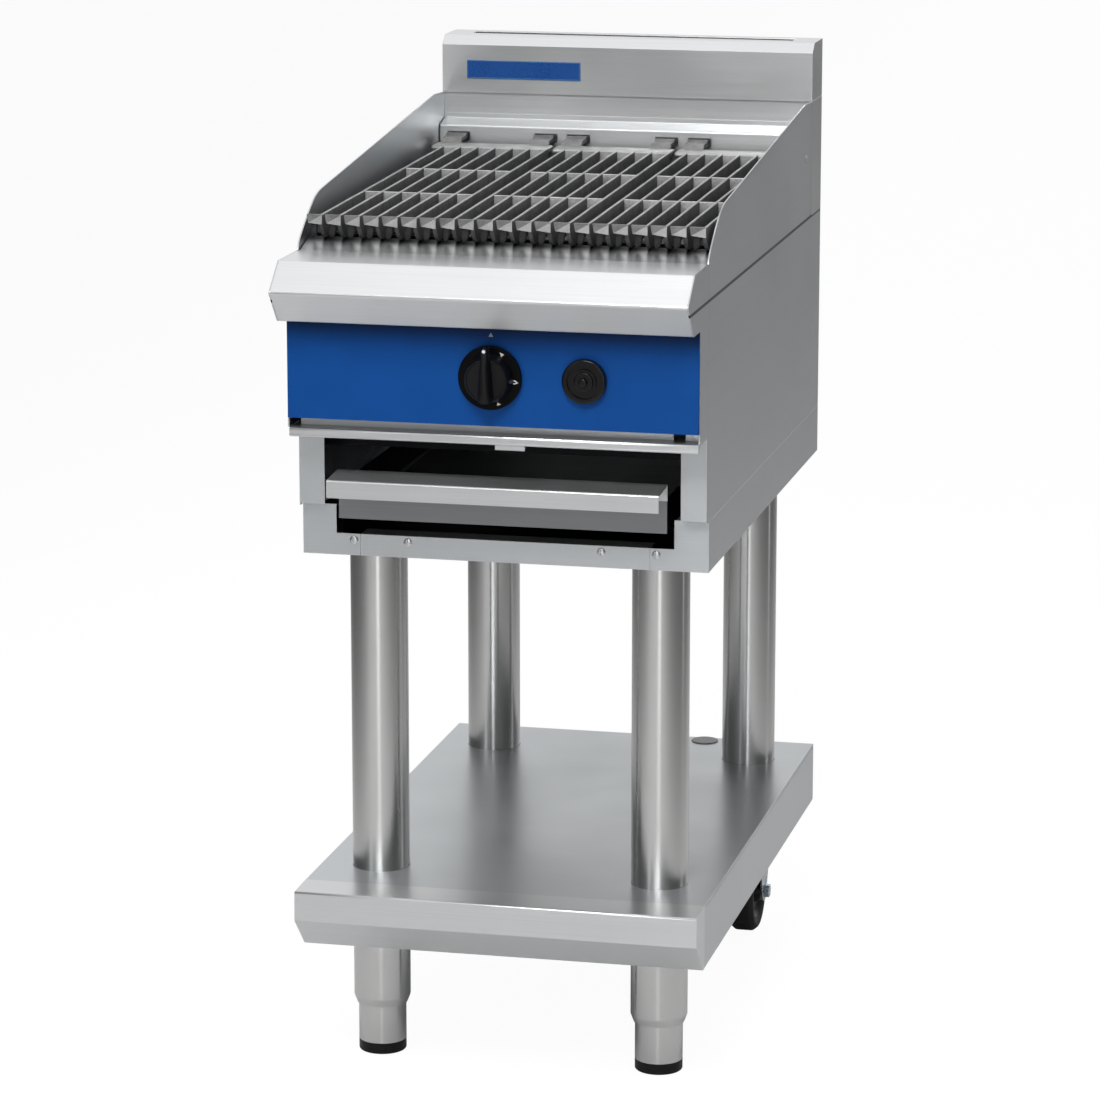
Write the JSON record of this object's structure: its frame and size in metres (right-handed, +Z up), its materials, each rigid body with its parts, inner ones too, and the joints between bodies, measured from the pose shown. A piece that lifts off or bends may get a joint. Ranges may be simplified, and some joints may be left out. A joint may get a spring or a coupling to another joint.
{
  "type": "charbroiler grill",
  "caption": "Free-standing gas charbroiler: tilting cast grates in a firebox with splash guards and rear flue, blue control panel, drip drawer, leg stand with undershelf, feet and rear rollers.",
  "frame": {"origin": "on the floor, centre of the bounding box footprint", "axes": "+X to the right seen from the front, +Y to the rear, +Z up; the controls face -Y"},
  "size_m": [0.453, 0.8119, 1.085],
  "materials": {
    "stainless": "brushed stainless sheet",
    "stainless_polished": "fine brushed stainless, brighter",
    "stainless_tube": "polished stainless tube",
    "blue_panel": "satin blue enamel",
    "black_plastic": "satin black plastic",
    "cast_iron": "seasoned cast iron",
    "zinc_plate": "bright zinc plate",
    "galvanised": "galvanised steel",
    "black_rubber": "matt black rubber",
    "grey_plastic": "grey plastic",
    "brass": "machined brass",
    "black_pipe": "black steel pipe"
  },
  "bodies": {
    "chassis": {"undershelf": "stainless", "hole_plug": "grey_plastic", "shelf_nose": "stainless_polished", "front_legs": "stainless_tube", "rear_legs": "stainless_tube", "foot_inserts": "galvanised", "castor_forks": "zinc_plate", "castor_axles": "zinc_plate", "stand_side_rails": "stainless", "corner_brackets": "stainless", "stand_front_rail": "stainless_polished", "stand_rear_rail": "galvanised", "base_plate": "galvanised", "domed_screws": "stainless_polished", "left_side_panel": "stainless", "right_side_panel": "stainless", "rear_panel": "galvanised", "bullnose": "stainless_polished", "console_end_caps": "stainless", "control_panel": "blue_panel", "drip_ledge": "stainless_polished", "valve_body": "brass", "igniter_bezel": "black_plastic", "igniter_body": "black_plastic", "gas_supply_pipe": "black_pipe", "gas_inlet": "brass", "burner_manifold": "black_pipe", "injectors": "brass", "burners": "cast_iron", "pilot_burner": "stainless", "radiants": "cast_iron", "radiant_rails": "cast_iron", "firebox_side_walls": "stainless", "firebox_rear_wall": "stainless_polished", "grease_gutter": "stainless_polished", "drawer_runners": "galvanised", "left_splash_guard": "stainless", "right_splash_guard": "stainless", "flue_duct": "stainless_polished", "splashback_hood": "stainless_polished", "badge": "blue_panel"},
    "drip_drawer": {"drawer_tray": "stainless", "drawer_front": "stainless", "drawer_handle": "stainless_polished"},
    "valve_plug": {"valve_plug": "brass"},
    "gas_knob": {"knob": "black_plastic", "knob_skirt": "black_plastic", "valve_spindle": "brass"},
    "igniter_button": {"igniter_button": "black_plastic"},
    "left_grate": {"left_grate": "cast_iron"},
    "centre_grate": {"centre_grate": "cast_iron"},
    "right_grate": {"right_grate": "cast_iron"},
    "left_wheel": {"left_wheel_hub": "black_plastic", "left_wheel_tyre": "black_rubber"},
    "right_wheel": {"right_wheel_hub": "black_plastic", "right_wheel_tyre": "black_rubber"},
    "left_foot": {"left_foot_sleeve": "stainless_tube", "left_foot_cap": "black_plastic"},
    "right_foot": {"right_foot_sleeve": "stainless_tube", "right_foot_cap": "black_plastic"}
  },
  "joints": [
    {"name": "drawer_slide", "type": "slide", "parent": "chassis", "child": "drip_drawer", "axis": [0, -1, 0], "range_m": [0, 0.45]},
    {"name": "gas_valve_turn", "type": "hinge", "parent": "chassis", "child": "valve_plug", "pos_m": [0, -0.306, 0.799], "axis": [0, -1, 0], "range_deg": [0, 180]},
    {"name": "knob_push", "type": "slide", "parent": "valve_plug", "child": "gas_knob", "axis": [0, 1, 0], "range_m": [0, 0.003], "stiffness_N_per_m": 900, "springref_m": -0.001},
    {"name": "igniter_push", "type": "slide", "parent": "chassis", "child": "igniter_button", "axis": [0, 1, 0], "range_m": [0, 0.004], "stiffness_N_per_m": 700, "springref_m": -0.001},
    {"name": "left_grate_lift", "type": "hinge", "parent": "chassis", "child": "left_grate", "pos_m": [-0.147, 0.31195, 0.96744], "axis": [-1, 0, 0], "range_deg": [0, 55]},
    {"name": "centre_grate_lift", "type": "hinge", "parent": "chassis", "child": "centre_grate", "pos_m": [0, 0.31195, 0.96744], "axis": [-1, 0, 0], "range_deg": [0, 55]},
    {"name": "right_grate_lift", "type": "hinge", "parent": "chassis", "child": "right_grate", "pos_m": [0.147, 0.31195, 0.96744], "axis": [-1, 0, 0], "range_deg": [0, 55]},
    {"name": "left_wheel_roll", "type": "hinge", "parent": "chassis", "child": "left_wheel", "pos_m": [-0.159, 0.321, 0.05], "axis": [1, 0, 0], "continuous": true},
    {"name": "right_wheel_roll", "type": "hinge", "parent": "chassis", "child": "right_wheel", "pos_m": [0.159, 0.321, 0.05], "axis": [1, 0, 0], "continuous": true},
    {"name": "left_foot_height", "type": "slide", "parent": "chassis", "child": "left_foot", "axis": [0, 0, -1], "range_m": [-0.025, 0.02]},
    {"name": "right_foot_height", "type": "slide", "parent": "chassis", "child": "right_foot", "axis": [0, 0, -1], "range_m": [-0.025, 0.02]}
  ]
}
